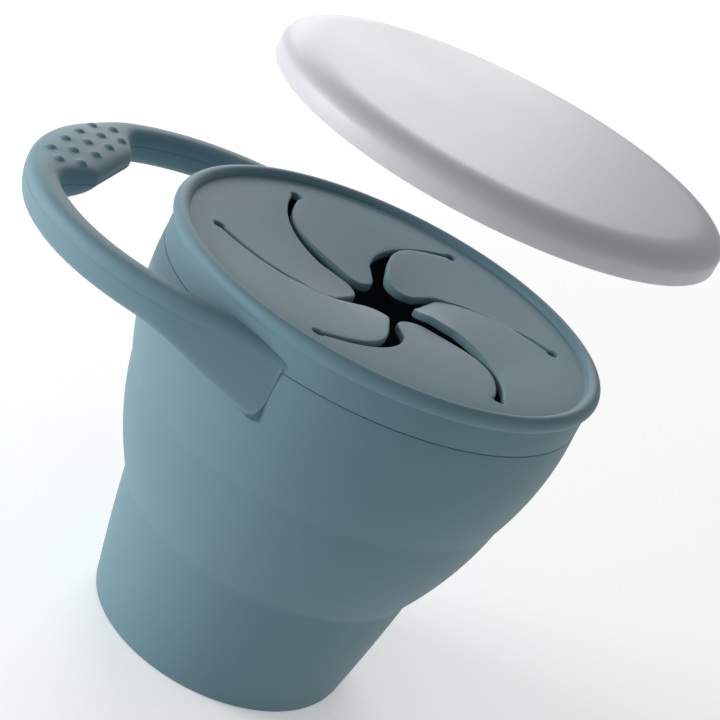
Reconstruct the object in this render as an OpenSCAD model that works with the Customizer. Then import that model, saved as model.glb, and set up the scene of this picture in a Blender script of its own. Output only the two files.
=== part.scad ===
// Toddler snack container: a collapsible silicone cup, a lid with swirl petals and a loop
// handle, and a pull-off cover, shown taken off and held above the lid.
// Origin: centre of the foot, on the table. +Z up, and the handle points along -X.

/* [Cup] */
// Outer radius of the foot
foot_r = 29.9; // [27:0.1:31.5]
// Outer radius at the lower fold line
low_fold_r = 34.5; // [33:0.1:36]
// Outer radius at the upper fold line
high_fold_r = 43.4; // [41.5:0.1:44.5]
// Outer radius at the lid's lower edge
rim_r = 47; // [46:0.1:50]
// Height of the base tier
base_h = 29.5; // [24:0.1:34]
// Height of the middle tier
middle_h = 25.8; // [20:0.1:28]
// Height of the upper tier, up to the lid's lower edge
upper_h = 26.3; // [22:0.1:32]
// How far the base tier bows outward
base_bow = 0.22; // [0:0.02:0.8]
// How far the middle tier bows outward
middle_bow = 1.24; // [0.4:0.02:1.8]
// How far the upper tier bows outward
upper_bow = 1.4; // [0.4:0.02:1.8]
// Wall thickness of the tiers
wall = 2; // [1.6:0.1:2.6]
// Wall thickness left at the two fold lines
fold_wall = 1.2; // [0.8:0.1:1.5]
// Distance from a fold line over which the wall thins
fold_zone = 3.5; // [2:0.1:6]
// Thickness of the floor
floor_t = 3; // [2:0.1:4.5]
// Radius of the foot's outer edge
foot_edge = 0.7; // [0.3:0.1:1.2]
// Radius of the fillet between the floor and the wall inside
floor_fillet = 3; // [1.5:0.1:5]

/* [Lid] */
// Height of the lid's skirt, up to the membrane's underside
skirt_h = 5.45; // [4:0.05:8]
// Thickness of the skirt
skirt_t = 1.7; // [1.3:0.1:2.2]
// How far the skirt tapers in towards its top
skirt_taper = 0.15; // [0:0.05:0.5]
// Diameter of the rolled bead round the lid's edge
bead_d = 3.28; // [2.6:0.02:4]
// How far the bead stands out past the rim
bead_out = 1; // [0.6:0.05:1.4]
// Thickness of the membrane and its petals
membrane_t = 1.8; // [1.4:0.1:2.2]
// How far the membrane lies below the top of the bead
recess = 1.55; // [1.2:0.05:2.4]

/* [Petals] */
// Number of petals
petals = 6; // [6]
// Radius at which the slits end outside
slit_r = 38.1; // [36:0.1:39.2]
// Direction of the first slit's outer end
slit_dir = 136.4; // [0:0.1:360]
// Angle that a slit would sweep on its way to the centre
slit_sweep = 64.8; // [56:0.1:70]
// Extra sweep in the middle of its way
slit_curl = 10.4; // [6:0.1:18]
// Sweep taken back near the centre
slit_relax = 27.1; // [20:0.1:34]
// Radius at which a petal's root line meets the slit on its other side
root_r = 30; // [28:0.1:31.5]
// Width of a slit near its outer end
slit_w_out = 1.1; // [0.9:0.05:1.4]
// Width of a slit at its narrowest
slit_w_mid = 0.56; // [0.5:0.02:0.9]
// Diameter of the relief hole at a slit's outer end
relief_d = 2.4; // [1.6:0.1:2.8]
// Radius of a petal's rounded tip
tip_r = 4.3; // [3.6:0.1:4.5]
// Distance of a tip's centre from the axis
tip_at = 11; // [9.8:0.1:12]
// Angle by which a tip lies back from the middle between its two slits
tip_back = 8.5; // [4:0.5:10]
// Extra width of the crescent gap along a petal's hollow edge, near the tip
crescent = 3; // [1:0.1:3.2]
// Radius at which the crescent gap begins
crescent_from = 31; // [24:0.5:32]
// Radius at which the crescent gap has its full width
crescent_to = 15; // [13:0.5:18]
// Angle by which the petals droop at rest
droop = 4; // [0:0.5:9]
// Radius of the petals' rounded edges
petal_edge = 0.6; // [0.4:0.05:0.68]

/* [Handle] */
// Distance from the cup's axis to the centre of the handle's arc
arc_at = 32.6; // [28:0.1:38]
// Outer radius of the handle's arc
arc_r = 45.8; // [45:0.1:46.6]
// Width of an arm
arm_w = 6.2; // [5:0.1:7.5]
// Height of an arm
arm_h = 8.3; // [6.5:0.1:8.6]
// Height of an arm at its root, inside the lid
root_h = 4.5; // [3.5:0.1:8]
// Width of the grip pad
pad_w = 16.8; // [13:0.1:19]
// Height of the grip pad at its crown
pad_h = 9.4; // [8.4:0.1:11]
// Angle along the arc at which the pad starts to narrow
pad_from = 17; // [10:0.5:28]
// Angle along the arc at which the pad has become an arm
pad_to = 34; // [30:0.5:40]
// Angle by which the grip pad sits off the middle of the arc, as photographed
pad_turn = 4.4; // [-6:0.2:6]
// Diameter of a grip bump
bump_d = 2.5; // [1.8:0.1:3.2]
// Height of a grip bump
bump_h = 0.6; // [0.3:0.05:0.9]
// Distance between bumps in a row
bump_pitch = 7.4; // [5:0.1:8]
// Distance between the rows of bumps
bump_rows_pitch = 3.6; // [3.2:0.1:4.2]
// Distance from the handle's outer edge to the first row
bump_inset = 5; // [4:0.1:6]

/* [Cover] */
// Thickness of the cover's centre
cover_t = 1.2; // [0.8:0.1:2]
// Thickness of the cover's skirt
cover_skirt_t = 0.8; // [0.6:0.05:1.4]
// Overall height of the cover
cover_h = 6.6; // [5.6:0.1:8]
// Width of the thick rim band
cover_band = 7.4; // [6:0.1:9]
// Height of the band's rounded shoulder
cover_shoulder = 3.8; // [2.5:0.1:4]
// How far the skirt reaches below the widest line of the bead
cover_grip = 0.8; // [0.1:0.1:0.8]

/* [Cover taken off] */
// How far the cover is lifted at rest
cover_up = 34.3; // [32:0.1:60]
// How far it has moved to the right
cover_right = 6.4; // [0:0.1:8]
// How far it has moved back
cover_back = 9; // [0:0.1:10]

/* [Fits] */
// Gap between the cup's mouth and the lid's skirt
lid_fit = 0.15; // [0.1:0.05:0.3]
// Gap under the lid where it sits on the cup
lid_seat = 0.1; // [0.05:0.05:0.3]
// Gap between a petal's root and the lid
petal_fit = 0.2; // [0.15:0.05:0.35]
// Gap between the handle's lower half and the cup's side
handle_fit = 0.2; // [0.15:0.05:0.5]
// Gap between the bead and the cover's skirt
cover_fit = 0.45; // [0.45:0.05:0.9]
// Gap between the bead's top and the cover resting on it
cover_seat = 0.1; // [0.05:0.05:0.3]

/* [Hidden] */

silicone = [0.40, 0.49, 0.53];
frosted = [0.80, 0.80, 0.82];
bow_steps = 12;
smooth = 72;

low_fold_z = base_h;
high_fold_z = base_h + middle_h;
rim_z = high_fold_z + upper_h;
under_z = rim_z + skirt_h;
membrane_z = under_z + membrane_t;
bead_top_z = membrane_z + recess;
bead_r = rim_r + bead_out - bead_d / 2;
bead_z = bead_top_z - bead_d / 2;
neck_r = rim_r - skirt_t - lid_fit;
neck_in_r = neck_r - wall;

sector = 360 / petals;
root_reach = membrane_t / 2;

cover_in_r = rim_r + bead_out + cover_fit;
cover_out_r = cover_in_r + cover_skirt_t;
cover_low_z = bead_z - cover_grip;
cover_seat_z = bead_top_z + cover_seat;

// A line from a to b that bows outward by bulge in the middle
function bow(a, b, bulge) = [for (i = [0:bow_steps])
    let (u = i / bow_steps) a + (b - a) * u + [4 * bulge * u * (1 - u), 0]];

// Wall thickness at height z: thinner near the two fold lines
function wall_at(z) = let (d = min(abs(z - low_fold_z), abs(z - high_fold_z)))
    wall - (wall - fold_wall) * max(0, 1 - d / fold_zone);

// The inner side of an outer line, from its end back to its start
function inside(line) = [for (i = [len(line) - 1:-1:0]) line[i] - [wall_at(line[i].y), 0]];

function unit(v) = v / norm(v);
function polar(r, a) = r * [cos(a), sin(a)];

module turned(points, colour = silicone) {
    color(colour) rotate_extrude($fn = smooth) polygon(points);
}

base_line = bow([foot_r, 0], [low_fold_r, low_fold_z], base_bow);
middle_line = bow([low_fold_r, low_fold_z], [high_fold_r, high_fold_z], middle_bow);
upper_line = bow([high_fold_r, high_fold_z], [rim_r, rim_z - lid_seat], upper_bow);

// Floor and lowest tier, up to the lower fold line
module cup_base() {
    inner = [for (p = inside(base_line)) if (p.y > floor_t + floor_fillet) p];
    corner = [foot_r + base_bow - wall - floor_fillet, floor_t + floor_fillet];
    fillet = [for (a = [0:-15:-90]) corner + floor_fillet * [cos(a), sin(a)]];
    foot = [for (a = [-90:15:0]) [foot_r - foot_edge, foot_edge] + foot_edge * [cos(a), sin(a)]];
    outer = [for (i = [1:bow_steps]) base_line[i]];
    turned(concat([[0, 0]], foot, outer, inner, fillet, [[0, floor_t]]));
}

// Middle tier, the flexible one: the cup collapses by turning it inside out
module cup_middle() {
    turned(concat(middle_line, inside(middle_line)));
}

// Upper tier and the stepped mouth that the lid's skirt goes round
module cup_upper() {
    edge = 0.6;
    mouth = [[neck_r, rim_z - lid_seat], [neck_r, under_z - lid_seat - edge],
             [neck_r - edge, under_z - lid_seat], [neck_in_r + edge, under_z - lid_seat],
             [neck_in_r, under_z - lid_seat - edge], [neck_in_r, rim_z - lid_seat - wall]];
    inner = [for (p = inside(upper_line)) if (p.y < rim_z - 2 * wall) p];
    turned(concat(upper_line, mouth, inner));
}

// A slit's angle from its outer end when it has come in to radius r, and half of its width
function slit_turn(r) = let (u = 1 - r / slit_r)
    slit_sweep * u + slit_curl * u * u - slit_relax * u * u * u;
function slit_half(r) = let (t = min(1, max(0, (slit_r - r) / (slit_r / 4))))
    (slit_w_out + (slit_w_mid - slit_w_out) * t) / 2;

// A petal's root line runs from the outer end of the slit on one side to a point on the
// slit on its other side. Its distance from the axis, and its direction from the petal's middle:
root_a = polar(root_r, slit_turn(root_r) - sector / 2);
root_b = polar(slit_r, sector / 2);
root_way = unit(root_b - root_a);
hinge_turn = atan2(root_way.y, root_way.x) - 90;
hinge_x = root_a * [root_way.y, -root_way.x];

// How far a petal's hollow edge stands back from the slit at radius r
function crescent_at(r) = let (t = (crescent_from - r) / (crescent_from - crescent_to),
    u = min(1, max(0, t))) crescent * u * u * (3 - 2 * u);

// A point at radius r on the edge of the slit on one side (-1 or 1) of a petal, inset into
// the petal, in the frame of its root line (which is parallel to Y at x = hinge_x)
function edge_point(r, side, inset) =
    let (a0 = side * sector / 2 - hinge_turn, d = 0.1,
         p = polar(r, a0 + slit_turn(r)),
         way = unit(polar(r - d, a0 + slit_turn(r - d)) - p))
    p + side * (slit_half(r) + inset + (side > 0 ? crescent_at(r) : 0)) * [-way.y, way.x];

// Radius at which that edge comes to the distance x, found between lo and hi by halving
function edge_meets(x, side, inset, lo, hi, n = 24) =
    let (m = (lo + hi) / 2)
    n == 0 ? m : edge_point(m, side, inset).x > x ? edge_meets(x, side, inset, lo, m, n - 1)
        : edge_meets(x, side, inset, m, hi, n - 1);

// Outline of the petals' opening in the membrane: root lines, and the slits outside them
function swirl_outline() =
    let (x = hinge_x + root_reach + petal_fit, n = 5, from = slit_r,
         to = edge_meets(x, -1, 0, root_r - 5, slit_r),
         part = concat([for (i = [0:n]) edge_point(from + (to - from) * i / n, -1, 0)],
                       [[x, edge_point(slit_r, 1, 0).y]]))
    [for (k = [0:petals - 1], p = part)
        let (a = slit_dir + (k + 0.5) * sector + hinge_turn)
        [p.x * cos(a) - p.y * sin(a), p.x * sin(a) + p.y * cos(a)]];

// Skirt, rolled bead and the outer part of the membrane, with the petals' opening in it
module lid_ring() {
    skirt_in = rim_r - skirt_t;
    section = [[skirt_in, rim_z], [rim_r, rim_z], [rim_r - skirt_taper, bead_z],
               [bead_r, bead_z], [bead_r, membrane_z], [0, membrane_z],
               [0, under_z], [skirt_in, under_z]];
    difference() {
        rotate_extrude($fn = smooth) {
            polygon(section);
            translate([bead_r, bead_z]) circle(d = bead_d, $fn = 24);
        }
        translate([0, 0, under_z - 1]) {
            linear_extrude(membrane_t + 2) polygon(swirl_outline());
            for (k = [0:petals - 1])
                rotate(slit_dir + k * sector) translate([slit_r, 0])
                    cylinder(d = relief_d, h = membrane_t + 2, $fn = 24);
        }
    }
}

// Distance from the arc's centre to the handle's inner edge, a degrees from its far end
function handle_in(a) =
    let (b = abs(a - pad_turn), t = min(1, max(0, (b - pad_from) / (pad_to - pad_from))),
         s = t * t * (3 - 2 * t), pad = (arc_r - pad_w) / cos(min(b, pad_to)))
    pad * (1 - s) + (arc_r - arm_w) * s;

// Height of the handle, a degrees from its far end
function handle_high(a) =
    let (t = min(1, abs(a - pad_turn) / pad_to)) pad_h + (arm_h - pad_h) * t * t * (3 - 2 * t);

// One rounded cross-section, as [across, up] points: a superellipse of width w and height h
section_points = 20;
roundness = 2.4;
function rounded(w, h) = [for (i = [0:section_points - 1])
    let (a = 360 * (i + 0.5) / section_points, c = cos(a), s = sin(a))
    [w / 2 * sign(c) * pow(abs(c), 2 / roundness), h / 2 * sign(s) * pow(abs(s), 2 / roundness)]];

// Side faces between rings of n points, with both ends closed
function loft_faces(rings, n) = concat(
    [[for (i = [n - 1:-1:0]) i]],
    [for (k = [0:rings - 2], i = [0:n - 1])
        let (j = (i + 1) % n, p = k * n + i, q = k * n + j)
        each [[p, q, q + n], [p, q + n, p + n]]],
    [[for (i = [0:n - 1]) (rings - 1) * n + i]]);

// The handle: a half circle whose arms widen into the crowned grip pad, with straight ends
module handle_loop() {
    step = 3;
    stations = concat([[90, arc_at]], [for (a = [90:-step:-90]) [a, 0]], [[-90, arc_at]]);
    points = [for (s = stations)
        let (a = s.x, inner = handle_in(a), w = arc_r - inner, mid = inner + w / 2)
        for (p = rounded(w, s.y > 0 ? root_h : handle_high(a)))
            [s.y - arc_at - (mid + p.x) * cos(a), (mid + p.x) * sin(a), rim_z + p.y]];
    polyhedron(points, loft_faces(len(stations), section_points), convexity = 4);
}

// Rows of small domes on top of the grip pad, each row staggered against the next
module grip_bumps() {
    dome_r = (pow(bump_d / 2, 2) + pow(bump_h, 2)) / (2 * bump_h);
    pad_mid = arc_r - pad_w / 2;
    for (row = [0:2]) {
        across = arc_r - bump_inset - row * bump_rows_pitch;
        count = row == 1 ? 5 : 4;
        off = pow(abs(across - pad_mid) / (pad_w / 2), roundness);
        for (i = [0:count - 1]) {
            y = (i - (count - 1) / 2) * bump_pitch;
            a = asin(y / across) + pad_turn;
            top = rim_z + handle_high(a) / 2 * pow(1 - off, 1 / roundness);
            translate([-arc_at, 0, top + bump_h - dome_r]) rotate(-pad_turn)
                translate([-across, y, 0]) sphere(r = dome_r, $fn = 16);
        }
    }
}

// The handle as it stands out of the skirt: its lower half stops clear of the cup's side
module handle() {
    difference() {
        handle_loop();
        cylinder(r = rim_r - skirt_t / 2, h = under_z + 1, $fn = smooth);
        cylinder(r = rim_r + handle_fit + upper_bow / 4, h = rim_z, $fn = smooth);
    }
    grip_bumps();
}

// Lid ring and handle, one moulding
module petal_lid() {
    color(silicone) {
        lid_ring();
        handle();
    }
}

// Direction from a circle's centre to the point where a line from p touches it
function touch(p, centre, r, side) = let (v = p - centre)
    atan2(v.y, v.x) + side * acos(r / norm(v));

// Outline of a petal, drawn in by inset: one edge, the round tip and the other edge
side_steps = 14;
tip_steps = 12;
tip_from_r = tip_at + tip_r;
function petal_outline(inset) =
    let (centre = polar(tip_at, slit_turn(tip_at) - tip_back - hinge_turn), r = tip_r - inset,
         root = hinge_x + root_reach - inset,
         side = function (s, from) [for (i = [0:side_steps])
             edge_point(from + (tip_from_r - from) * i / side_steps, s, inset)],
         left = side(-1, edge_meets(root, -1, inset, root_r - 8, slit_r)),
         right = side(1, edge_meets(root, 1, inset, root_r, slit_r + 3)),
         a0 = touch(left[side_steps], centre, r, -1),
         a1 = touch(right[side_steps], centre, r, 1),
         turn = (a0 - a1 + 720) % 360)
    concat(left, [for (i = [0:tip_steps]) centre + polar(r, a0 - turn * i / tip_steps)],
           [for (i = [side_steps:-1:0]) right[i]]);

// One petal: a plate with rounded edges, hinged along its root line and drooping
module petal(k) {
    levels = [for (a = [-90:30:90]) [petal_edge * (1 - cos(a)),
        (root_reach - petal_edge) * sign(a) + petal_edge * sin(a)]];
    loops = [for (l = levels) [for (p = petal_outline(l.x)) [p.x - hinge_x, p.y, l.y]]];
    n = len(loops[0]);
    color(silicone) rotate(slit_dir + (k - 0.5) * sector + hinge_turn)
        translate([hinge_x, 0, membrane_z - root_reach]) rotate([0, -droop, 0])
            polyhedron([for (l = loops) each l], loft_faces(len(loops), n), convexity = 6);
}

// The cover's section, seated: thin centre, thick rounded band and a short skirt
module cover() {
    top_z = cover_low_z + cover_h;
    flat_r = cover_out_r - cover_band;
    shoulder = [for (a = [0:7.5:90])
        [flat_r + cover_band * cos(a), top_z - cover_shoulder * (1 - sin(a))]];
    under = [[cover_in_r, cover_low_z], [cover_in_r, cover_seat_z],
             [flat_r + cover_band / 4, cover_seat_z], [flat_r, top_z - cover_t],
             [0, top_z - cover_t]];
    translate([cover_right, cover_back, cover_up])
        turned(concat([[0, top_z]], [for (i = [len(shoulder) - 1:-1:0]) shoulder[i]],
                      [[cover_out_r, cover_low_z]], under), frosted);
}

cup_base();
cup_middle();
cup_upper();
petal_lid();
for (k = [1:petals])
    petal(k);
cover();
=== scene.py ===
import bpy
import math
import numpy as np
from mathutils import Matrix, Vector


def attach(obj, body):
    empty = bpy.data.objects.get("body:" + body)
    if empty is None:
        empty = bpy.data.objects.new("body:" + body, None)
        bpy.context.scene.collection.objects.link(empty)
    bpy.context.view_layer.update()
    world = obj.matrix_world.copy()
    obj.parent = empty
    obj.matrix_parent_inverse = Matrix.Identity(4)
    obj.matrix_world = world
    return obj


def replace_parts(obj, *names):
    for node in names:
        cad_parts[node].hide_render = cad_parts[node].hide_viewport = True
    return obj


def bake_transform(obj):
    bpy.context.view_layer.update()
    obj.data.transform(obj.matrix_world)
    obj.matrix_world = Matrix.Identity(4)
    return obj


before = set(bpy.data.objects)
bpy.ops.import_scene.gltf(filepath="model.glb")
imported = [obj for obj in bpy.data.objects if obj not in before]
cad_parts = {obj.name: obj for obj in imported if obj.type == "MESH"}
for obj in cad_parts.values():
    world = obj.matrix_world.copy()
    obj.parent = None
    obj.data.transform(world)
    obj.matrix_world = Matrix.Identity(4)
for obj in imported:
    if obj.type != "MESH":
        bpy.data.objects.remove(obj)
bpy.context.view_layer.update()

MM = 0.001

# Sizes are in millimetres and angles in degrees. Those of the cup, the lid and the handle are
# the solids' own, but for the pad's width and the petals' rounded edges, a little less here.

# Cup, from the foot up: radii and heights of the foot, the two fold lines and the rim
FOOT_R, LOW_FOLD_R, HIGH_FOLD_R, RIM_R = 29.9, 34.5, 43.4, 47.0
LOW_Z = 29.5
HIGH_Z = LOW_Z + 25.8
RIM_Z = HIGH_Z + 26.3
TIER_R = (FOOT_R, LOW_FOLD_R, HIGH_FOLD_R, RIM_R)
TIER_Z = (0, LOW_Z, HIGH_Z, RIM_Z)
# How far the side of each tier bows outward
BOWS = (0.22, 1.24, 1.4)
# Wall thickness, what is left of it at a fold line, and the distance over which it thins
WALL, FOLD_WALL, FOLD_ZONE = 2.0, 1.2, 3.5
# How far a fold line is softened to each side, and the distance over which that fades out
FOLD_SOFT, FOLD_SOFT_ZONE = 0.9, 4.0
FLOOR_T, FLOOR_FILLET = 3.0, 3.0
# Radius of the foot's rounded edge, and how far it stands out toward the leaning side
FOOT_EDGE, FOOT_OUT = 0.7, 0.02

# Lid
SKIRT_H, SKIRT_T = 5.45, 1.7
MEMBRANE_T, RECESS = 1.8, 1.55
UNDER_Z = RIM_Z + SKIRT_H
MEMBRANE_Z = UNDER_Z + MEMBRANE_T
SKIRT_IN = RIM_R - SKIRT_T
BEAD_TUBE_R, BEAD_OUT = 1.64, 1.0
BEAD_R = RIM_R + BEAD_OUT - BEAD_TUBE_R
BEAD_Z = MEMBRANE_Z + RECESS - BEAD_TUBE_R
# Radius at which the membrane's ring ends, in the valley beside the bead
VALLEY_R = 44.3
# The membrane is dished: where it starts to fall, how steeply, and how softly it starts
DISH_R, DISH_SLOPE, DISH_SOFT = 40.4, 0.1016, 2.5

# The cup's mouth inside the lid's skirt, with the gaps beside it and above it
LID_FIT, LID_SEAT = 0.15, 0.1
MOUTH_R = SKIRT_IN - LID_FIT
MOUTH_IN = MOUTH_R - WALL
# Heights at which the mouth's inside starts to widen downward, and at which it meets the wall's
WIDEN_Z, WIDE_Z = RIM_Z - 2.1, RIM_Z - 4

# Swirl: number of petals, radius of the slits' outer ends and direction of the first one
PETALS = 6
SECTOR = 360 / PETALS
SLIT_R, SLIT_DIR = 38.1, 136.4
# A slit's turn on its way in: in all, more in the middle, and less near the centre
SLIT_SWEEP, SLIT_CURL, SLIT_RELAX = 64.8, 10.4, 27.1
SLIT_W_OUT, SLIT_W_MID = 1.1, 0.56
# Radius of the hole at a slit's outer end
HOLE_R = 1.2
# Radius at which a petal's root line meets the slit on its left
ROOT_R = 30.0
# A petal's tip: its radius, its distance from the axis, and how far it lies back
TIP_R, TIP_AT, TIP_BACK = 4.3, 11.0, 8.5
# Extra width of the gap along a petal's hollow edge, and the radii between which it grows
CRESCENT, CRESCENT_FROM, CRESCENT_TO = 3.0, 31.0, 15.0
# Radius of the rounded edges of the petals and of the ring round them
EDGE = 0.4
# Slits that lie shut along a stretch: the slit's number, and the radii between which it is shut
SHUT = {1: (13.0, 26.0), 4: (14.5, 34.0)}
# Lengths over which a slit closes at the inner and at the outer end of that stretch
SHUT_IN, SHUT_OUT = 3, 4
# Half of the width left where a slit is shut, and the share of its rounded edges that is gone
SHUT_HALF, SHUT_SQUARE = 0.03, 0.85
# Slits that gape toward their outer end, by which share, and the radii between which it grows
GAPING = (0, 3)
GAPE, GAPE_FROM, GAPE_TO = 0.5, 20, 30
# How far each petal is bent up at rest along its left and its right edge, and the distance from
# the root line over which the bend sets in
LIFT = ((0.0, 0.0), (0.0, 3.2), (0.6, 0.6), (6.5, 0.5), (3.0, 3.8), (0.6, 0.6))
LIFT_SOFT = 4

# Handle: a half-circle with the centre ARC_AT in front of the cup's axis, and two arms
ARC_AT, ARC_R, ARM_W, ARM_H = 32.6, 45.8, 6.2, 8.3
# Height of an arm at its root
ROOT_H = 4.5
# Grip pad: width, height, where off its middle it starts to narrow and where it has become an
# arm, and how far its middle is turned from the loop's
PAD_W, PAD_H, PAD_FROM, PAD_TO, PAD_TURN = 16.2, 9.4, 17.0, 34.0, 4.4
# Angles off the pad's middle between which its wedge-like inner edge fades out
WEDGE_FROM, WEDGE_TO = 14, 38
# Superellipse exponent of the sections, and how far it changes at the pad's inner edge, above
# and below, and at the outer lower edge of an arm's web
POWER, PAD_ABOVE, PAD_BELOW, WEB_SQUARE = 2.6, 1.0, -1.1, 2.9
# Depth of the groove at the mould's parting line, and the line's height above mid height
GROOVE, PART_UP = 0.14, 0.9
# An arm flares to a web on its way to the root: where it starts, how steeply and how softly
WEB_X, WEB_SLOPE, WEB_SOFT = -36.5, 0.305, 2.5
# The web's sag, and the places between which it grows
SAG, SAG_FROM_X, SAG_TO_X = 0.4, -34, -22
# Where the web's lower edge turns square
SQUARE_FROM_X, SQUARE_TO_X = -42, -24
# The rounded corner at the web's end: where it starts, its length and its height
CORNER_X, CORNER_LONG, CORNER_HIGH = -14.9, 3.4, 1.9
# Past the first place an arm has no web, past the second nothing of it is outside the lid
WEB_END_X, OUTSIDE_END_X = -11.6, -11.53
# An arm's lower half keeps outside the first radius, beside the cup, and its upper half
# outside the second, inside the lid's skirt
BESIDE_R, IN_SKIRT_R = 47.25, 46.25
# The solids' handle, made of flat facets, ends here
HANDLE_END_X = -78.31

# Bumps on the pad: diameter, height, distance along and between the rows, and how far the
# outermost row lies inside the loop's edge
BUMP_D, BUMP_H, BUMP_PITCH, BUMP_ROW_PITCH, BUMP_INSET = 2.5, 0.6, 7.4, 3.6, 5.0

# Cover: height, thickness of the disc and of the skirt, width and height of the rounded band,
# how far the skirt reaches below the bead's widest line, and the gaps beside and above the bead
COVER_H, COVER_T, COVER_SKIRT_T, BAND_W, BAND_H = 6.6, 1.2, 0.8, 7.4, 3.8
COVER_GRIP, COVER_FIT, COVER_SEAT = 0.8, 0.45, 0.1
COVER_IN = BEAD_R + BEAD_TUBE_R + COVER_FIT
COVER_R = COVER_IN + COVER_SKIRT_T
COVER_LOW_Z = BEAD_Z - COVER_GRIP
COVER_TOP_Z = COVER_LOW_Z + COVER_H
COVER_SEAT_Z = BEAD_Z + BEAD_TUBE_R + COVER_SEAT
# How far it is held from its place on the lid: to the right, back and up
COVER_AT = (6.4, 9.0, 34.3)

# Steps of the meshes: round a turned piece, round a hole from the root line, along a petal's
# edge, round half of a tip, across a petal, along the ring's part of a slit, round a hole from
# the root line to the next slit, and from the petals out to the valley
TURN_STEPS, HOLE_STEPS, EDGE_STEPS, TIP_STEPS, ACROSS_STEPS = 192, 8, 26, 10, 16
WEDGE_STEPS, HOLE_LONG_STEPS, RING_STEPS = 14, 12, 9
BUMP_STEPS = 28
# Step of the radius along a petal's left edge beside the root line
NEAR_STEP = 0.45
# Where a slit's side crosses another line is looked for from this far inside
SEARCH = 6
# On the valley's circle the points lie back by this angle, and wider apart round a hole
VALLEY_LAG, HOLE_SPREAD = 2.6, 3.0
# Edges that turn by more than this are shaded as sharp
SHARP_ANGLE = 48


# Plane geometry

def cos_sin(angle):
    return math.cos(math.radians(angle)), math.sin(math.radians(angle))


def angle_of(v):
    return math.degrees(math.atan2(v[1], v[0]))


def polar(radius, angle):
    c, s = cos_sin(angle)
    return np.array([radius * c, radius * s])


def turned(p, angle):
    c, s = cos_sin(angle)
    return np.array([p[0] * c - p[1] * s, p[0] * s + p[1] * c])


def smooth_step(t):
    """0 up to t = 0 and 1 from t = 1, with a smooth way between."""
    t = min(1.0, max(0.0, t))
    return t * t * (3 - 2 * t)


def soft_ramp(x, soft):
    """About 0 for x below 0 and about x above it, with a bend as long as soft."""
    return soft * math.log1p(math.exp(x / soft))


def solve(fn, low, high):
    """The value between low and high at which fn changes sign; fn(low) is negative."""
    for _ in range(40):
        middle = (low + high) / 2
        if fn(middle) > 0:
            high = middle
        else:
            low = middle
    return (low + high) / 2


def arc(centre, radius, start, end, steps):
    """Points on an arc between two angles, both ends included."""
    return [np.array(centre) + polar(radius, start + (end - start) * i / steps)
            for i in range(steps + 1)]


def fillet(points, radii, steps=5):
    """A polyline with its inner corners rounded by the given radii; 0 keeps a corner."""
    out = [points[0]]
    for before, corner, after, radius in zip(points, points[1:], points[2:], radii[1:]):
        if radius == 0:
            out.append(corner)
            continue
        u, v = np.subtract(before, corner), np.subtract(after, corner)
        u_long, v_long = np.linalg.norm(u), np.linalg.norm(v)
        u, v = u / u_long, v / v_long
        half = math.acos(max(-1, min(1, float(u @ v)))) / 2
        cut = min(radius / math.tan(half), 0.49 * u_long, 0.49 * v_long)
        radius = cut * math.tan(half)
        centre = corner + (u + v) / np.linalg.norm(u + v) * (radius / math.sin(half))
        start, end = angle_of(corner + u * cut - centre), angle_of(corner + v * cut - centre)
        turn = (end - start + 180) % 360 - 180
        out += arc(centre, radius, start, start + turn, steps)
    out.append(points[-1])
    return out


# Meshes

def add_points(verts, points):
    """Adds the points and gives their numbers."""
    first = len(verts)
    verts.extend(points)
    return list(range(first, len(verts)))


def add_face(faces, ids):
    """Adds a face through these vertices, each once, where at least three are left."""
    ids = tuple(dict.fromkeys(ids))
    if len(ids) > 2:
        faces.append(ids)


def bridge(faces, first, second, flip=False):
    """Adds the faces between two closed loops with as many vertices."""
    for i in range(len(first)):
        j = (i + 1) % len(first)
        face = (first[i], second[i], second[j], first[j])
        faces.append(face[::-1] if flip else face)


def lathe(profile, closed=True):
    """Turns (radius, height) points round the axis; a point on the axis becomes one vertex."""
    verts, rows, faces = [], [], []
    for r, z in profile:
        if r == 0:
            rows.append(add_points(verts, [(0, 0, z)]) * TURN_STEPS)
        else:
            circle = arc((0, 0), r, 0, 360, TURN_STEPS)[:-1]
            rows.append(add_points(verts, [(x, y, z) for x, y in circle]))
    if closed:
        rows.append(rows[0])
    for row, following in zip(rows, rows[1:]):
        for i in range(TURN_STEPS):
            j = (i + 1) % TURN_STEPS
            add_face(faces, (row[i], row[j], following[j], following[i]))
    return verts, faces


def make(name, verts, faces, material):
    """A smooth object from vertices in millimetres."""
    mesh = bpy.data.meshes.new(name)
    mesh.from_pydata([(x * MM, y * MM, z * MM) for x, y, z in verts], [], faces)
    mesh.validate()
    mesh.update()
    mesh.shade_smooth()
    mesh.set_sharp_from_angle(angle=math.radians(SHARP_ANGLE))
    mesh.materials.append(material)
    piece = bpy.data.objects.new(name, mesh)
    bpy.context.scene.collection.objects.link(piece)
    return piece


# The cup

def fold_distance(z):
    return min(abs(z - LOW_Z), abs(z - HIGH_Z))


def sharp_radius(z):
    """Outer radius of the cup's side at height z, with sharp fold lines."""
    k = 0 if z <= LOW_Z else 1 if z <= HIGH_Z else 2
    u = (z - TIER_Z[k]) / (TIER_Z[k + 1] - TIER_Z[k])
    return TIER_R[k] + (TIER_R[k + 1] - TIER_R[k]) * u + 4 * BOWS[k] * u * (1 - u)


def side_radius(z):
    """Outer radius of the cup's side at height z, softened near a fold line by a mean over the
    heights round z."""
    reach = FOLD_SOFT * max(0.0, 1 - fold_distance(z) / FOLD_SOFT_ZONE)
    steps = np.linspace(-1, 1, 9)
    radii = [sharp_radius(z + reach * t) for t in steps]
    return float(np.average(radii, weights=1 - 0.8 * steps ** 2))


def wall_at(z):
    """Wall thickness at height z."""
    return WALL - (WALL - FOLD_WALL) * smooth_step(1 - fold_distance(z) / FOLD_ZONE)


def outer_side(zs):
    return [(side_radius(z), z) for z in zs]


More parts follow.
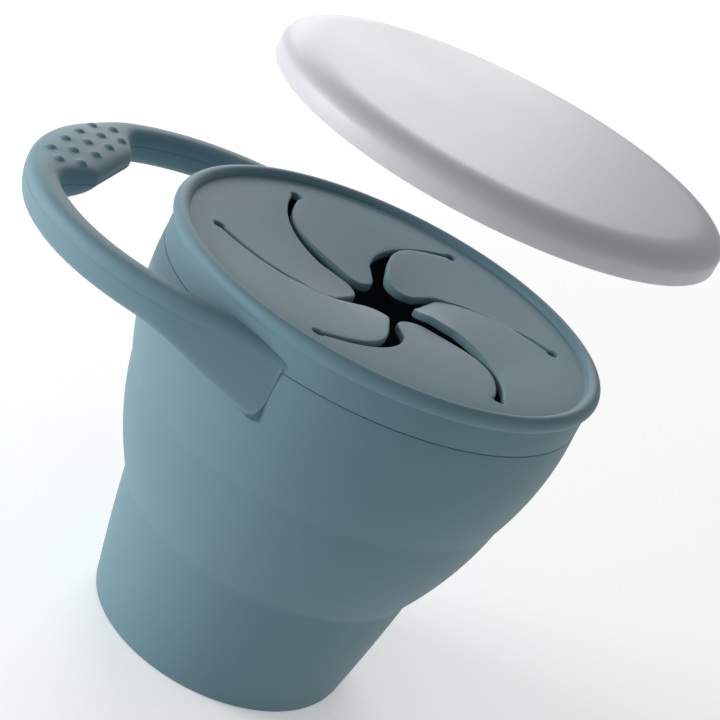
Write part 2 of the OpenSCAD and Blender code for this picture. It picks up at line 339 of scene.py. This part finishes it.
def inner_side(zs):
    return [(side_radius(z) - wall_at(z), z) for z in zs]


def heights(start, end, steps):
    """Heights from start to end, closer together near both."""
    return [start + (end - start) * (0.5 - 0.5 * math.cos(math.pi * i / steps))
            for i in range(steps + 1)]


def cup_base_skin(material):
    fillet_z = FLOOR_T + FLOOR_FILLET
    under = [(r, 0) for r in (0, 12, 22)]
    foot = arc((FOOT_R - FOOT_EDGE + FOOT_OUT, FOOT_EDGE), FOOT_EDGE, -90, 0, 7)
    outer = outer_side(heights(FOOT_EDGE + 0.6, LOW_Z, 26))
    inner = inner_side(heights(LOW_Z, fillet_z + 0.5, 24))
    corner = arc((inner[-1][0] - FLOOR_FILLET, fillet_z), FLOOR_FILLET, 0, -90, 9)
    floor_top = [(r, FLOOR_T) for r in (20, 10, 0)]
    skin = lathe(under + foot + outer + inner + corner + floor_top, closed=False)
    return make("cup_base_wall", *skin, material)


def cup_middle_skin(material):
    zs = np.linspace(LOW_Z, HIGH_Z, 57)
    return make("cup_middle_wall", *lathe(outer_side(zs) + inner_side(zs[::-1])), material)


def cup_upper_skin(material):
    """The upper tier, with the stepped mouth that the lid goes round."""
    shoulder_z, mouth_top = RIM_Z - LID_SEAT, UNDER_Z - LID_SEAT
    outer = outer_side(heights(HIGH_Z, shoulder_z - 0.5, 30))
    mouth = fillet([outer[-1], (RIM_R, shoulder_z), (MOUTH_R, shoulder_z), (MOUTH_R, mouth_top),
                    (MOUTH_IN, mouth_top), (MOUTH_IN, WIDEN_Z),
                    (side_radius(WIDE_Z) - WALL, WIDE_Z)],
                   [0, 0.2, 0.25, 0.6, 0.6, 0.8, 0])
    inner = inner_side(heights(WIDE_Z - 0.6, HIGH_Z, 26))
    return make("cup_upper_wall", *lathe(outer + mouth[1:] + inner), material)


# The swirl

# The two sides of a petal, and of the slit that runs along it
LEFT, RIGHT = -1, 1


def slit_turn(r):
    """How far a slit has turned on its way in from its outer end to radius r."""
    u = 1 - r / SLIT_R
    return SLIT_SWEEP * u + SLIT_CURL * u ** 2 - SLIT_RELAX * u ** 3


def slit_half(r):
    """Half of a slit's width at radius r; it narrows over the outer quarter of its way."""
    share = min(1.0, max(0.0, (SLIT_R - r) / (SLIT_R / 4)))
    return (SLIT_W_OUT + (SLIT_W_MID - SLIT_W_OUT) * share) / 2


# A petal's root line runs from the slit on its left to the end of the slit on its right. Edges
# are worked out in the petal's own frame, where that line is parallel to y, at x = HINGE_X.
ROOT_START = polar(ROOT_R, slit_turn(ROOT_R) - SECTOR / 2)
ROOT_END = polar(SLIT_R, SECTOR / 2)
HINGE_TURN = angle_of(ROOT_END - ROOT_START) - 90
HINGE_X = float(turned(ROOT_START, -HINGE_TURN)[0])


def petal_turn(k):
    """Direction of the x axis of petal k's own frame."""
    return SLIT_DIR + (k - 0.5) * SECTOR + HINGE_TURN


def hole_centre(side):
    return polar(SLIT_R, side * SECTOR / 2 - HINGE_TURN)


def edge_point(r, side, inset, slit):
    """The point at radius r of the edge beside a slit, drawn in by inset from the slit."""
    half = slit_half(r)
    cut = 0.0
    if side == RIGHT and slit not in SHUT:
        cut = CRESCENT * smooth_step((CRESCENT_FROM - r) / (CRESCENT_FROM - CRESCENT_TO))
    if slit in GAPING:
        half *= 1 + GAPE * smooth_step((r - GAPE_FROM) / (GAPE_TO - GAPE_FROM))
    if slit in SHUT:
        start, end = SHUT[slit]
        tight = smooth_step((r - start) / SHUT_IN) * smooth_step((end - r) / SHUT_OUT)
        half += (SHUT_HALF - half) * tight
        inset *= 1 - SHUT_SQUARE * tight
    first = side * SECTOR / 2 - HINGE_TURN
    p = polar(r, first + slit_turn(r))
    way = polar(r - 0.1, first + slit_turn(r - 0.1)) - p
    across = np.array([-way[1], way[0]]) / np.linalg.norm(way)
    return p + side * (half + inset + cut) * across


def root_crossing(inset, slit):
    """The radius at which a slit's left side crosses the root line."""
    return solve(lambda r: edge_point(r, LEFT, inset, slit)[0] - HINGE_X, ROOT_R - SEARCH, SLIT_R)


def hole_crossing(side, inset, slit):
    """The radius at which one side of a slit leaves the hole at its outer end."""
    def inside(r):
        away = edge_point(r, side, inset, slit) - hole_centre(side)
        return HOLE_R + inset - np.linalg.norm(away)
    return solve(inside, SLIT_R - SEARCH, SLIT_R)


def petal_edges(inset, k):
    """Petal k's left and right edge from the root line to the tip, drawn in by inset."""
    left_slit, right_slit = k - 1, k % PETALS
    tip, tip_r = polar(TIP_AT, slit_turn(TIP_AT) - TIP_BACK - HINGE_TURN), TIP_R - inset
    tip_from = TIP_AT + TIP_R
    steps = range(1, EDGE_STEPS + 1)

    start = root_crossing(inset, left_slit)
    radii = [start - NEAR_STEP * i for i in range(HOLE_STEPS + 1)]
    start = radii[-1]
    radii += [start + (tip_from - start) * i / EDGE_STEPS for i in steps]
    left = [edge_point(r, LEFT, inset, left_slit) for r in radii]

    start = hole_crossing(RIGHT, inset, right_slit)
    corner = angle_of(edge_point(start, RIGHT, inset, right_slit) - hole_centre(RIGHT))
    corner = corner - 360 if corner > -90 else corner
    right = arc(hole_centre(RIGHT), HOLE_R + inset, -90, corner, HOLE_STEPS)
    right += [edge_point(start + (tip_from - start) * i / EDGE_STEPS, RIGHT, inset, right_slit)
              for i in steps]

    def touch(p, side):
        """The angle at which a straight line from p meets the tip's circle."""
        away = p - tip
        return angle_of(away) + side * math.degrees(math.acos(tip_r / np.linalg.norm(away)))

    first, last = touch(left[-1], LEFT), touch(right[-1], RIGHT)
    turn = (first - last) % 360
    left += arc(tip, tip_r, first, first - turn / 2, TIP_STEPS)
    right += arc(tip, tip_r, first - turn, first - turn / 2, TIP_STEPS)
    return np.array(left), np.array(right)


def edge_levels():
    """(inset, depth) round the membrane's edge, from its top surface to its underside."""
    upper = [EDGE - polar(EDGE, a) for a in (90, 68, 46, 24, 0)]
    lower = [EDGE - polar(EDGE, a) for a in (0, 45, 90)]
    return [tuple(p) for p in upper] + [(inset, MEMBRANE_T - depth) for inset, depth in lower]


def membrane_z(p, depth):
    """Height of the dished membrane at p, this deep below its top surface."""
    dish = DISH_SLOPE * soft_ramp(DISH_R - math.hypot(p[0], p[1]), DISH_SOFT)
    return MEMBRANE_Z - dish - depth


def petal_skin(k, material):
    levels = edge_levels()
    edges = [petal_edges(inset, k) for inset, depth in levels]
    count = len(edges[0][0])
    verts, faces, loops = [], [], []

    def add(p, depth, share):
        """Adds p, a given share of the way from the left edge to the right, and its number."""
        away = max(0.0, HINGE_X - p[0])
        lift = LIFT[k - 1][0] * (1 - share) + LIFT[k - 1][1] * share
        bend = math.tan(math.radians(lift)) * away ** 2 / (away + LIFT_SOFT)
        x, y = turned(p, petal_turn(k))
        return add_points(verts, [(x, y, membrane_z(p, depth) + bend)])[0]

    # The edges' shares of the way across are 0 and 1, but meet in the middle of the tip
    shares = [max(0.0, 0.5 * (i - count + 1 + TIP_STEPS) / TIP_STEPS) for i in range(count)]
    for (inset, depth), (left, right) in zip(levels, edges):
        left_ids = [add(p, depth, share) for p, share in zip(left, shares)]
        right_ids = [add(p, depth, 1 - share) for p, share in zip(right[:-1], shares)]
        loops.append((left_ids, right_ids + left_ids[-1:]))
    for upper, lower in zip(loops, loops[1:]):
        for side in (0, 1):
            for i in range(count - 1):
                face = (upper[side][i], upper[side][i + 1], lower[side][i + 1], lower[side][i])
                faces.append(face[::-1] if side else face)
    for level, flip in ((0, False), (len(levels) - 1, True)):
        left, right = edges[level]
        left_ids, right_ids = loops[level]
        rows = []
        for i in range(count - 1):
            parts = [j / ACROSS_STEPS for j in range(1, ACROSS_STEPS)]
            inner_ids = [add(left[i] + (right[i] - left[i]) * part, levels[level][1],
                             shares[i] + (1 - 2 * shares[i]) * part) for part in parts]
            rows.append([left_ids[i]] + inner_ids + [right_ids[i]])
        rows.append(left_ids[-1:] * (ACROSS_STEPS + 1))
        for row, following in zip(rows, rows[1:]):
            for j in range(ACROSS_STEPS):
                face = (row[j], row[j + 1], following[j + 1], following[j])
                add_face(faces, face[::-1] if flip else face)
    return make("petal_%d_leaf" % k, verts, faces, material)


def ring_edge(inset, k):
    """The edge of the ring's opening for petal k: along the slit on its left, along the root
    line and round the hole at its right, each as a list of points in the petal's frame."""
    slit, following = k - 1, k % PETALS
    start, end = hole_crossing(LEFT, inset, slit), root_crossing(inset, slit)
    wedge = [edge_point(start + (end - start) * i / WEDGE_STEPS, LEFT, inset, slit)
             for i in range(WEDGE_STEPS)]
    hole, centre = HOLE_R + inset, hole_centre(RIGHT)
    first, last = edge_point(end, LEFT, inset, slit), centre + np.array([0, -hole])
    seam = [first + (last - first) * j / ACROSS_STEPS for j in range(ACROSS_STEPS)]
    corner = edge_point(hole_crossing(LEFT, inset, following), LEFT, inset, following)
    corner = angle_of(turned(corner, SECTOR) - centre)
    corner = corner + 360 if corner < -90 else corner
    around = arc(centre, hole, -90, corner, HOLE_LONG_STEPS)[:-1]
    return wedge, seam, around


def valley_angles(points, kinds):
    """Angles on the valley's circle for the points round the ring's opening, spread by the
    length along its edge and wider round the holes."""
    weights = np.array([HOLE_SPREAD if kind == "hole" else 1.0 for kind in kinds])
    lengths = np.linalg.norm(np.roll(points, -1, 0) - points, axis=1) * weights
    lengths = lengths[:len(points) // PETALS]
    shares = (np.cumsum(lengths) - lengths) / lengths.sum()
    first = angle_of(points[0]) - VALLEY_LAG
    return [first + (petal + share) * SECTOR for petal in range(PETALS) for share in shares]


def rim_profile():
    """(radius, height) points from the valley over the bead, down the skirt and up inside."""
    valley_z = membrane_z((VALLEY_R, 0), 0)
    bead = arc((BEAD_R, BEAD_Z), BEAD_TUBE_R, 176, -52, 26)
    valley = fillet([(VALLEY_R, valley_z), (BEAD_R - BEAD_TUBE_R + 0.02, valley_z), bead[1]],
                    [0, 0.45, 0], 6)
    skirt = fillet([bead[-1], (RIM_R - 0.14, UNDER_Z + 0.15), (RIM_R - 0.1, UNDER_Z - 0.85),
                    (RIM_R, RIM_Z + 2), (RIM_R, RIM_Z), (SKIRT_IN, RIM_Z), (SKIRT_IN, UNDER_Z),
                    (VALLEY_R, UNDER_Z)],
                   [0, 0.8, 0, 0, 0.2, 0.3, 0.4, 0], 6)
    return valley[1:-1] + bead[1:] + skirt[1:-1]


def lid_ring_skin(material):
    """The membrane's ring round the petals, with the bead and the skirt."""
    levels = edge_levels()
    verts, faces, loops = [], [], []
    for inset, depth in levels:
        points, kinds = [], []
        for k in range(1, PETALS + 1):
            for kind, part in zip(("slit", "seam", "hole"), ring_edge(inset, k)):
                points += [turned(p, petal_turn(k)) for p in part]
                kinds += [kind] * len(part)
        ids = add_points(verts, [(*p, membrane_z(p, depth)) for p in points])
        loops.append((ids, np.array(points)))
    angles = valley_angles(loops[0][1], kinds)
    for (upper, _), (lower, _) in zip(loops, loops[1:]):
        for i, kind in enumerate(kinds):
            if kind != "seam":
                j = (i + 1) % len(kinds)
                faces.append((lower[i], lower[j], upper[j], upper[i]))

    def sheet(level, flip):
        """One side of the ring, from its opening out to the valley, where its points end."""
        ids, points = loops[level]
        for step in range(1, RING_STEPS + 1):
            part = step / RING_STEPS
            row = [p + (polar(VALLEY_R, a) - p) * part for p, a in zip(points, angles)]
            row_ids = add_points(verts, [(*p, membrane_z(p, levels[level][1])) for p in row])
            bridge(faces, ids, row_ids, flip)
            ids = row_ids
        return ids

    line, underside = sheet(0, False), sheet(len(levels) - 1, True)
    for r, z in rim_profile():
        following = add_points(verts, [(*polar(r, a), z) for a in angles])
        bridge(faces, line, following)
        line = following
    bridge(faces, line, underside)
    return make("lid_ring", verts, faces, material)


# The handle

# Angles round half of a section, and places in front of the cup's axis where an arm has a
# section, both closer together where the shape turns sharply
QUARTER = (1, 3, 7, 13, 20, 28, 37, 46, 55, 64, 73, 82)
HALF = QUARTER + (90,) + tuple(180 - v for v in QUARTER[::-1])
ARM_PLACES = ((7, 8.5, 10, 11, 11.5, 11.55, 11.62, 11.8, 12.1, 12.4, 12.8, 13.2, 13.6, 14, 14.5)
              + tuple(range(15, 22)) + tuple(range(22, 31, 2)))


def handle_in(a):
    """Inner radius of the loop at angle a. The pad's inner edge is straight."""
    off = abs(a - PAD_TURN)
    share = smooth_step((off - PAD_FROM) / (PAD_TO - PAD_FROM))
    pad_in = (ARC_R - PAD_W) / math.cos(math.radians(min(off, PAD_TO)))
    return pad_in * (1 - share) + (ARC_R - ARM_W) * share


def handle_height(a):
    return PAD_H + (ARM_H - PAD_H) * smooth_step(abs(a - PAD_TURN) / PAD_TO)


def pad_share(a):
    """How much of the pad's wedge-like inner edge there is at angle a."""
    return 1 - smooth_step((abs(a - PAD_TURN) - WEDGE_FROM) / (WEDGE_TO - WEDGE_FROM))


def half_section(width, height, outer_power, inner_power):
    """Half a superellipse as (across, up) points, with its own exponent in each quarter."""
    points = []
    for v in HALF:
        c, s = cos_sin(v)
        power = outer_power if c > 0 else inner_power
        across = math.copysign(abs(c) ** (2 / power), c) * width / 2
        points.append((across, height * s ** (2 / power)))
    return points


def section(width, up, low, web, pad):
    """A closed section with the mould's parting line as a groove where it is widest."""
    upper = half_section(width, up, POWER, POWER + PAD_ABOVE * pad)
    lower = half_section(width, -low, POWER + WEB_SQUARE * web, POWER + PAD_BELOW * pad)
    groove = width / 2 - GROOVE
    return [(groove, 0.0)] + upper + [(-groove, 0.0)] + lower[::-1]


def root_depth(x):
    """How far an arm reaches below the rim's height at x, with its web and the web's corner."""
    deep = ARM_H / 2 + WEB_SLOPE * soft_ramp(x - WEB_X, WEB_SOFT)
    sag = SAG * smooth_step((x - SAG_FROM_X) / (SAG_TO_X - SAG_FROM_X))
    t = min(1.0, max(0.0, (x - CORNER_X) / CORNER_LONG))
    return deep + sag - CORNER_HIGH * (1 - math.sqrt(1 - t * t))


def clear_of_cup(x, y, lower):
    """y, moved outward where a point of an arm would be inside the radius it keeps to."""
    limit = BESIDE_R if lower else IN_SKIRT_R
    if math.hypot(x, y) >= limit:
        return y
    out = math.sqrt(limit * limit - x * x)
    return math.copysign(min(out, ARC_R) if lower else out, y)


def handle_section(a, shift):
    """The handle's section at angle a of the loop, moved by shift toward the cup's axis."""
    c, s = cos_sin(a)
    inner, half_height = handle_in(a), handle_height(a) / 2
    middle = (ARC_R + inner) / 2
    reach = shift - ARC_AT - ARC_R * c
    up = half_height + (ROOT_H - ARM_H) / 2 * shift / ARC_AT - PART_UP
    low = max(half_height, root_depth(reach)) + PART_UP
    web = smooth_step((reach - SQUARE_FROM_X) / (SQUARE_TO_X - SQUARE_FROM_X))
    points = []
    for across, above in section(ARC_R - inner, up, low, web, pad_share(a)):
        x, y = shift - ARC_AT - (middle + across) * c, (middle + across) * s
        y = clear_of_cup(x, y, above <= 0 and x < OUTSIDE_END_X)
        z = RIM_Z + PART_UP + above
        points.append((max(x, HANDLE_END_X), y, max(z, RIM_Z) if x > WEB_END_X else z))
    return points


def handle_skin(material):
    """The upper half dives into the lid's skirt, the lower half runs out along the cup."""
    stations = [(-90, ARC_AT - place) for place in ARM_PLACES]
    stations += [(-90 + 1.5 * i, 0) for i in range(121)]
    stations += [(90, ARC_AT - place) for place in ARM_PLACES[::-1]]
    verts, faces = [], []
    rings = [add_points(verts, handle_section(a, shift)) for a, shift in stations]
    for ring, following in zip(rings, rings[1:]):
        bridge(faces, ring, following)
    faces.append(tuple(rings[0]))
    faces.append(tuple(rings[-1][::-1]))
    return make("carry_handle", verts, faces, material)


def pad_top(x, y):
    """Height of the grip pad's top surface."""
    a = angle_of((-(x + ARC_AT), y))
    inner = handle_in(a)
    half = (ARC_R - inner) / 2
    across = (math.hypot(x + ARC_AT, y) - inner - half) / half
    power = POWER if across > 0 else POWER + PAD_ABOVE * pad_share(a)
    up = handle_height(a) / 2 - PART_UP
    return RIM_Z + PART_UP + up * (1 - min(1.0, abs(across)) ** power) ** (1 / power)


def add_bump(verts, faces, x, y):
    """A round cap of a sphere on the pad, with a soft foot that ends under its surface."""
    sphere_r = ((BUMP_D / 2) ** 2 + BUMP_H ** 2) / (2 * BUMP_H)
    rings = [(r, math.sqrt(sphere_r ** 2 - r ** 2) - (sphere_r - BUMP_H))
             for r in (0.2, 0.4, 0.6, 0.8, 0.95, 1.08, 1.18)]
    rings += [(1.28, 0.035), (1.42, 0.012), (1.6, -0.004), (1.75, -0.05)]
    line = add_points(verts, [(x, y, pad_top(x, y) + BUMP_H)]) * BUMP_STEPS
    for r, up in rings:
        circle = arc((x, y), r, 0, 360, BUMP_STEPS)[:-1]
        following = add_points(verts, [(*p, pad_top(*p) + up) for p in circle])
        for i in range(BUMP_STEPS):
            j = (i + 1) % BUMP_STEPS
            add_face(faces, (line[i], following[i], following[j], line[j]))
        line = following


def bumps_skin(material):
    verts, faces = [], []
    for row, count in enumerate((4, 5, 4)):
        out = ARC_R - BUMP_INSET - row * BUMP_ROW_PITCH
        for i in range(count):
            along = (i - (count - 1) / 2) * BUMP_PITCH
            c, s = cos_sin(PAD_TURN)
            add_bump(verts, faces, -ARC_AT - out * c + along * s, out * s + along * c)
    return make("grip_bumps", verts, faces, material)


# The cover

def cover_skin(material):
    """A disc with a thick rounded rim band and a short skirt."""
    flat_r = COVER_R - BAND_W
    ceiling_z = COVER_TOP_Z - COVER_T
    disc = [(r, COVER_TOP_Z) for r in (0, 14, 28, 38)]
    band = [(flat_r + BAND_W * c, COVER_TOP_Z - BAND_H * (1 - s))
            for c, s in map(cos_sin, range(90, -1, -6))]
    skirt = fillet([band[-1], (COVER_R, COVER_LOW_Z), (COVER_IN, COVER_LOW_Z),
                    (COVER_IN, COVER_SEAT_Z), (flat_r + BAND_W / 4, COVER_SEAT_Z),
                    (flat_r, ceiling_z), (30, ceiling_z)],
                   [0, 0.35, 0.3, 0.3, 1.5, 2.0, 0], 6)
    ceiling = [(r, ceiling_z) for r in (15, 0)]
    verts, faces = lathe(disc + band + skirt[1:] + ceiling, closed=False)
    return make("cover_disc", [np.add(v, COVER_AT) for v in verts], faces, material)


# Materials

def new_material(name):
    """A material, its node tree and its shader."""
    material = bpy.data.materials.new(name)
    material.use_nodes = True
    tree = material.node_tree
    return material, tree, tree.nodes["Principled BSDF"]


def set_inputs(node, **values):
    """Sets inputs by their names, written with underscores for spaces."""
    for name, value in values.items():
        node.inputs[name.replace("_", " ")].default_value = value


def noise(tree, scale, detail):
    """A noise texture fixed to the piece."""
    place = tree.nodes.new("ShaderNodeTexCoord")
    texture = tree.nodes.new("ShaderNodeTexNoise")
    set_inputs(texture, Scale=scale, Detail=detail)
    tree.links.new(place.outputs["Object"], texture.inputs["Vector"])
    return texture


def clouded_material(name, cloud, grain, tones, roughness, bump):
    """A material with faint clouds in its colour and roughness and a fine grain on its surface.
    Each tone is a place on the ramp and a colour."""
    material, tree, shader = new_material(name)
    clouds, grains = noise(tree, *cloud), noise(tree, *grain)
    ramp = tree.nodes.new("ShaderNodeValToRGB")
    for element, (position, colour) in zip(ramp.color_ramp.elements, tones):
        element.position = position
        element.color = (*colour, 1)
    rough = tree.nodes.new("ShaderNodeMapRange")
    set_inputs(rough, To_Min=roughness[0], To_Max=roughness[1])
    relief = tree.nodes.new("ShaderNodeBump")
    set_inputs(relief, Strength=bump[0], Distance=bump[1])
    for source, output, target, entry in ((clouds, "Fac", ramp, "Fac"),
                                          (ramp, "Color", shader, "Base Color"),
                                          (clouds, "Fac", rough, "Value"),
                                          (rough, "Result", shader, "Roughness"),
                                          (grains, "Fac", relief, "Height"),
                                          (relief, "Normal", shader, "Normal")):
        tree.links.new(source.outputs[output], target.inputs[entry])
    return material, shader


def silicone_material():
    material, shader = clouded_material(
        "soft_silicone", cloud=(38, 3), grain=(2600, 2),
        tones=((0.3, (0.099, 0.190, 0.230)), (0.7, (0.106, 0.200, 0.242))),
        roughness=(0.6, 0.68), bump=(0.12, 0.00006))
    set_inputs(shader, Specular_IOR_Level=0.36, Sheen_Weight=0.12, Sheen_Roughness=0.5)
    return material


def cover_material():
    material, shader = clouded_material(
        "frosted_cover", cloud=(30, 2), grain=(2200, 2),
        tones=((0.35, (0.425, 0.43, 0.46)), (0.7, (0.445, 0.45, 0.48))),
        roughness=(0.42, 0.5), bump=(0.1, 0.00005))
    set_inputs(shader, Subsurface_Weight=0.35, Subsurface_Radius=(0.004, 0.004, 0.0042),
               Subsurface_Scale=1.0, Specular_IOR_Level=0.45)
    return material


def floor_material():
    material, tree, shader = new_material("pale_floor")
    set_inputs(shader, Base_Color=(0.95, 0.95, 0.95, 1), Emission_Color=(1, 1, 1, 1),
               Emission_Strength=0.24, Roughness=0.9, Specular_IOR_Level=0.1)
    return material


# The pieces and what they move with

silicone = silicone_material()
frosted = cover_material()

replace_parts(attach(cup_base_skin(silicone), "base"), "cup_base")
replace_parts(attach(cup_upper_skin(silicone), "upper"), "cup_upper")
middle = cup_middle_skin(silicone)
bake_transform(middle)
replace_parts(middle, "cup_middle")

for maker in (lid_ring_skin, handle_skin, bumps_skin):
    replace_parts(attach(maker(silicone), "lid"), "petal_lid")

for k in range(1, PETALS + 1):
    leaf = petal_skin(k, silicone)
    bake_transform(leaf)
    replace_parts(leaf, "petal_%d" % k)

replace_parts(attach(cover_skin(frosted), "cover"), "cover")


# Floor, light and camera, in metres

FLOOR_HALF = 40
# The lights aim at the middle of the cup
AIM = Vector((0, 0, 0.06))
WORLD_STRENGTH = 0.44
# The camera as it was fitted to the photo: its axes, its place, and its focal length in pixels
# of a picture this wide
RIGHTWARD = Vector((0.8900763, 0.1640484, 0.4252673))
DOWNWARD = Vector((0.4555648, -0.3508657, -0.8181406))
AHEAD = Vector((0.0149971, 0.9219444, -0.3870319))
CAMERA_AT = Vector((-4.544, -333.462, 211.724)) * MM
FOCAL_PIXELS, PICTURE_PIXELS = 1732.79, 720
SENSOR_MM = 36


def add_floor():
    mesh = bpy.data.meshes.new("floor")
    corners = [(x * FLOOR_HALF, y * FLOOR_HALF, 0) for x, y in ((-1, -1), (1, -1), (1, 1), (-1, 1))]
    mesh.from_pydata(corners, [], [(0, 1, 2, 3)])
    mesh.materials.append(floor_material())
    floor = bpy.data.objects.new("floor", mesh)
    bpy.context.scene.collection.objects.link(floor)


def area_light(name, offset, width, height, power):
    """A light this far from the point that it aims at."""
    light = bpy.data.lights.new(name, "AREA")
    light.energy = power
    light.shape = "RECTANGLE"
    light.size = width
    light.size_y = height
    lamp = bpy.data.objects.new(name, light)
    bpy.context.scene.collection.objects.link(lamp)
    lamp.location = AIM + Vector(offset)
    lamp.rotation_euler = (-Vector(offset)).to_track_quat("-Z", "Y").to_euler()


def add_world():
    world = bpy.data.worlds.new("studio")
    bpy.context.scene.world = world
    world.use_nodes = True
    set_inputs(world.node_tree.nodes["Background"], Color=(1, 1, 1, 1), Strength=WORLD_STRENGTH)


def add_camera():
    lens = bpy.data.cameras.new("camera")
    lens.sensor_width = SENSOR_MM
    lens.lens = FOCAL_PIXELS / PICTURE_PIXELS * SENSOR_MM
    camera = bpy.data.objects.new("camera", lens)
    bpy.context.scene.collection.objects.link(camera)
    turn = Matrix((RIGHTWARD, -DOWNWARD, -AHEAD)).transposed()
    camera.matrix_world = Matrix.Translation(CAMERA_AT) @ turn.to_4x4()
    bpy.context.scene.camera = camera


add_floor()
add_world()
# The key comes from the handle's side, a wide back light passes under the raised cover.
area_light("key", (-0.75, -0.16, 0.08), width=0.4, height=0.4, power=6.6)
area_light("back", (-0.42, 1.7, 0.62), width=1.2, height=0.7, power=15.0)
add_camera()
bpy.context.scene.view_settings.view_transform = "Standard"
